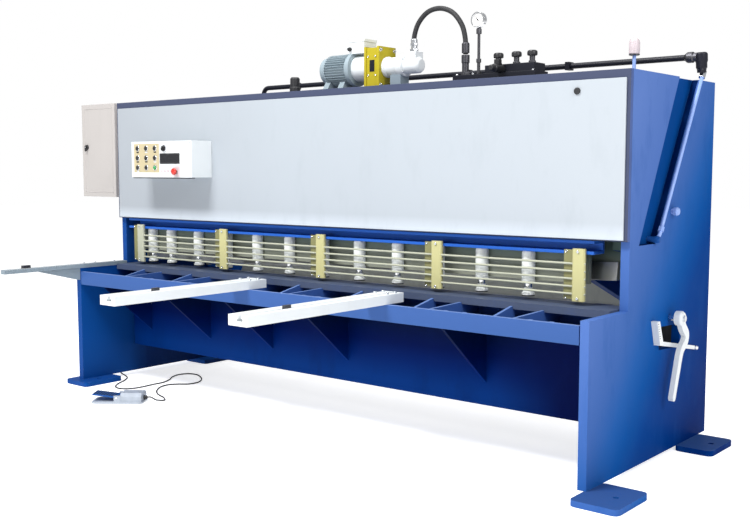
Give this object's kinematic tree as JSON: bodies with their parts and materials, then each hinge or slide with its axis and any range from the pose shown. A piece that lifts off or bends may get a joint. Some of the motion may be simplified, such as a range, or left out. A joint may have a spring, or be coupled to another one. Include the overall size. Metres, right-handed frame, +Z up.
{
  "type": "metal shear",
  "caption": "Hydraulic swing-beam guillotine shear for sheet metal, with hold-downs, finger guard, support arms, back gauge, control box and foot switch.",
  "frame": {"origin": "on the floor, in the middle of the machine's footprint box, without the foot switch cable", "axes": "+X along the blades to the operator's right, +Y from the operator to the back, +Z up"},
  "size_m": [3.997, 2.136, 2.1168],
  "materials": {
    "painted_blue": "semi-gloss royal blue machine enamel",
    "painted_panel": "satin cool light grey",
    "painted_white": "satin white",
    "painted_yellow": "satin safety yellow",
    "painted_black": "satin black",
    "painted_grey": "satin grey",
    "ground_steel": "ground tool steel",
    "plated_steel": "bright plated steel",
    "black_rubber": "matte black rubber",
    "button_red": "gloss red plastic",
    "button_green": "gloss green plastic",
    "black_plastic": "matte black plastic"
  },
  "bodies": {
    "frame": {"left_side_plate": "painted_blue", "right_side_plate": "painted_blue", "work_table": "painted_blue", "front_apron": "painted_blue", "lower_blade": "ground_steel", "press_beam": "painted_blue", "hold_down_cylinders": "painted_white", "finger_guard": "painted_yellow", "panel_frame": "painted_blue", "front_panel": "painted_panel", "oil_tank": "painted_blue", "motor": "painted_grey", "bell_housing": "painted_yellow", "pump": "painted_white", "pressure_hose": "black_rubber", "valve_manifold": "painted_black", "pressure_gauge": "plated_steel", "filler_cap": "painted_black", "series_pipe": "painted_black", "down_pipe": "plated_steel", "electric_cabinet": "painted_panel", "control_box": "painted_white", "support_arm_left": "painted_white", "support_arm_right": "painted_white", "squaring_arm": "painted_grey", "gap_scale": "painted_white", "cable_conduit": "painted_grey", "rear_guard": "painted_grey", "pedal_cable": "black_rubber", "foot_switch_base": "painted_grey", "main_cylinder_left": "painted_blue", "main_cylinder_right": "painted_blue"},
    "swing_beam": {"swing_beam": "painted_blue", "upper_blade": "ground_steel", "backgauge_screw_left": "plated_steel", "backgauge_screw_right": "plated_steel"},
    "backgauge": {"backgauge_beam": "painted_blue"},
    "main_plunger_left": {"main_plunger_left": "plated_steel"},
    "main_plunger_right": {"main_plunger_right": "plated_steel"},
    "cabinet_door": {"cabinet_door": "painted_panel"},
    "door_lock": {"door_lock": "black_plastic"},
    "start_button": {"start_button": "button_green"},
    "stop_button": {"stop_button": "black_plastic"},
    "emergency_stop": {"emergency_stop": "button_red"},
    "mode_selector": {"mode_selector": "black_plastic"},
    "gap_lever": {"gap_lever": "painted_white"},
    "foot_treadle": {"foot_treadle": "painted_blue"},
    "hold_down_plunger_01": {"hold_down_plunger_01": "painted_white"},
    "hold_down_plunger_02": {"hold_down_plunger_02": "painted_white"},
    "hold_down_plunger_03": {"hold_down_plunger_03": "painted_white"},
    "hold_down_plunger_04": {"hold_down_plunger_04": "painted_white"},
    "hold_down_plunger_05": {"hold_down_plunger_05": "painted_white"},
    "hold_down_plunger_06": {"hold_down_plunger_06": "painted_white"},
    "hold_down_plunger_07": {"hold_down_plunger_07": "painted_white"},
    "hold_down_plunger_08": {"hold_down_plunger_08": "painted_white"},
    "hold_down_plunger_09": {"hold_down_plunger_09": "painted_white"},
    "hold_down_plunger_10": {"hold_down_plunger_10": "painted_white"},
    "hold_down_plunger_11": {"hold_down_plunger_11": "painted_white"},
    "hold_down_plunger_12": {"hold_down_plunger_12": "painted_white"},
    "hold_down_plunger_13": {"hold_down_plunger_13": "painted_white"}
  },
  "joints": [
    {"name": "beam_swing", "type": "hinge", "parent": "frame", "child": "swing_beam", "pos_m": [0.0735, 0.839, 0.69], "axis": [1, 0, 0], "range_deg": [0, 11.2]},
    {"name": "backgauge_travel", "type": "slide", "parent": "swing_beam", "child": "backgauge", "axis": [0, 0.981, -0.1942], "range_m": [-0.33, 0.24]},
    {"name": "plunger_left_stroke", "type": "slide", "parent": "frame", "child": "main_plunger_left", "axis": [0, -0.4841, -0.875], "range_m": [0, 0.12]},
    {"name": "plunger_right_stroke", "type": "slide", "parent": "frame", "child": "main_plunger_right", "axis": [0, -0.4841, -0.875], "range_m": [0, 0.12]},
    {"name": "door_hinge", "type": "hinge", "parent": "frame", "child": "cabinet_door", "pos_m": [-1.6525, 0.1007, 1.427], "axis": [0, 0, 1], "range_deg": [0, 110]},
    {"name": "door_lock_turn", "type": "hinge", "parent": "cabinet_door", "child": "door_lock", "pos_m": [-1.9465, 0.1007, 1.45], "axis": [0, 1, 0], "range_deg": [0, 90]},
    {"name": "start_press", "type": "slide", "parent": "frame", "child": "start_button", "axis": [0, 1, 0], "range_m": [0, 0.005], "stiffness_N_per_m": 500, "springref_m": -0.004},
    {"name": "stop_press", "type": "slide", "parent": "frame", "child": "stop_button", "axis": [0, 1, 0], "range_m": [0, 0.005], "stiffness_N_per_m": 500, "springref_m": -0.004},
    {"name": "emergency_press", "type": "slide", "parent": "frame", "child": "emergency_stop", "axis": [0, 1, 0], "range_m": [0, 0.006]},
    {"name": "selector_turn", "type": "hinge", "parent": "frame", "child": "mode_selector", "pos_m": [-0.9995, -0.039, 1.428], "axis": [0, 1, 0], "range_deg": [-45, 45]},
    {"name": "gap_lever_turn", "type": "hinge", "parent": "frame", "child": "gap_lever", "pos_m": [1.8285, 0.565, 0.642], "axis": [1, 0, 0], "range_deg": [-25, 25]},
    {"name": "treadle_press", "type": "hinge", "parent": "frame", "child": "foot_treadle", "pos_m": [-1.0395, -0.357, 0.034], "axis": [0.6131, -0.79, 0], "range_deg": [0, 8], "stiffness_Nm_per_rad": 5, "springref_deg": -22.92},
    {"name": "hold_down_plunger_01_stroke", "type": "slide", "parent": "frame", "child": "hold_down_plunger_01", "axis": [0, 0, -1], "range_m": [0, 0.0145], "stiffness_N_per_m": 1500, "springref_m": -0.03},
    {"name": "hold_down_plunger_02_stroke", "type": "slide", "parent": "frame", "child": "hold_down_plunger_02", "axis": [0, 0, -1], "range_m": [0, 0.0145], "stiffness_N_per_m": 1500, "springref_m": -0.03},
    {"name": "hold_down_plunger_03_stroke", "type": "slide", "parent": "frame", "child": "hold_down_plunger_03", "axis": [0, 0, -1], "range_m": [0, 0.0145], "stiffness_N_per_m": 1500, "springref_m": -0.03},
    {"name": "hold_down_plunger_04_stroke", "type": "slide", "parent": "frame", "child": "hold_down_plunger_04", "axis": [0, 0, -1], "range_m": [0, 0.0145], "stiffness_N_per_m": 1500, "springref_m": -0.03},
    {"name": "hold_down_plunger_05_stroke", "type": "slide", "parent": "frame", "child": "hold_down_plunger_05", "axis": [0, 0, -1], "range_m": [0, 0.0145], "stiffness_N_per_m": 1500, "springref_m": -0.03},
    {"name": "hold_down_plunger_06_stroke", "type": "slide", "parent": "frame", "child": "hold_down_plunger_06", "axis": [0, 0, -1], "range_m": [0, 0.0145], "stiffness_N_per_m": 1500, "springref_m": -0.03},
    {"name": "hold_down_plunger_07_stroke", "type": "slide", "parent": "frame", "child": "hold_down_plunger_07", "axis": [0, 0, -1], "range_m": [0, 0.0145], "stiffness_N_per_m": 1500, "springref_m": -0.03},
    {"name": "hold_down_plunger_08_stroke", "type": "slide", "parent": "frame", "child": "hold_down_plunger_08", "axis": [0, 0, -1], "range_m": [0, 0.0145], "stiffness_N_per_m": 1500, "springref_m": -0.03},
    {"name": "hold_down_plunger_09_stroke", "type": "slide", "parent": "frame", "child": "hold_down_plunger_09", "axis": [0, 0, -1], "range_m": [0, 0.0145], "stiffness_N_per_m": 1500, "springref_m": -0.03},
    {"name": "hold_down_plunger_10_stroke", "type": "slide", "parent": "frame", "child": "hold_down_plunger_10", "axis": [0, 0, -1], "range_m": [0, 0.0145], "stiffness_N_per_m": 1500, "springref_m": -0.03},
    {"name": "hold_down_plunger_11_stroke", "type": "slide", "parent": "frame", "child": "hold_down_plunger_11", "axis": [0, 0, -1], "range_m": [0, 0.0145], "stiffness_N_per_m": 1500, "springref_m": -0.03},
    {"name": "hold_down_plunger_12_stroke", "type": "slide", "parent": "frame", "child": "hold_down_plunger_12", "axis": [0, 0, -1], "range_m": [0, 0.0145], "stiffness_N_per_m": 1500, "springref_m": -0.03},
    {"name": "hold_down_plunger_13_stroke", "type": "slide", "parent": "frame", "child": "hold_down_plunger_13", "axis": [0, 0, -1], "range_m": [0, 0.0145], "stiffness_N_per_m": 1500, "springref_m": -0.03}
  ],
  "couplings": [
    {"joint": "plunger_left_stroke", "follows": "beam_swing", "m_per_rad": 0.602},
    {"joint": "plunger_right_stroke", "follows": "beam_swing", "m_per_rad": 0.602},
    {"joint": "hold_down_plunger_02_stroke", "follows": "hold_down_plunger_01_stroke", "ratio": 1},
    {"joint": "hold_down_plunger_03_stroke", "follows": "hold_down_plunger_01_stroke", "ratio": 1},
    {"joint": "hold_down_plunger_04_stroke", "follows": "hold_down_plunger_01_stroke", "ratio": 1},
    {"joint": "hold_down_plunger_05_stroke", "follows": "hold_down_plunger_01_stroke", "ratio": 1},
    {"joint": "hold_down_plunger_06_stroke", "follows": "hold_down_plunger_01_stroke", "ratio": 1},
    {"joint": "hold_down_plunger_07_stroke", "follows": "hold_down_plunger_01_stroke", "ratio": 1},
    {"joint": "hold_down_plunger_08_stroke", "follows": "hold_down_plunger_01_stroke", "ratio": 1},
    {"joint": "hold_down_plunger_09_stroke", "follows": "hold_down_plunger_01_stroke", "ratio": 1},
    {"joint": "hold_down_plunger_10_stroke", "follows": "hold_down_plunger_01_stroke", "ratio": 1},
    {"joint": "hold_down_plunger_11_stroke", "follows": "hold_down_plunger_01_stroke", "ratio": 1},
    {"joint": "hold_down_plunger_12_stroke", "follows": "hold_down_plunger_01_stroke", "ratio": 1},
    {"joint": "hold_down_plunger_13_stroke", "follows": "hold_down_plunger_01_stroke", "ratio": 1}
  ]
}
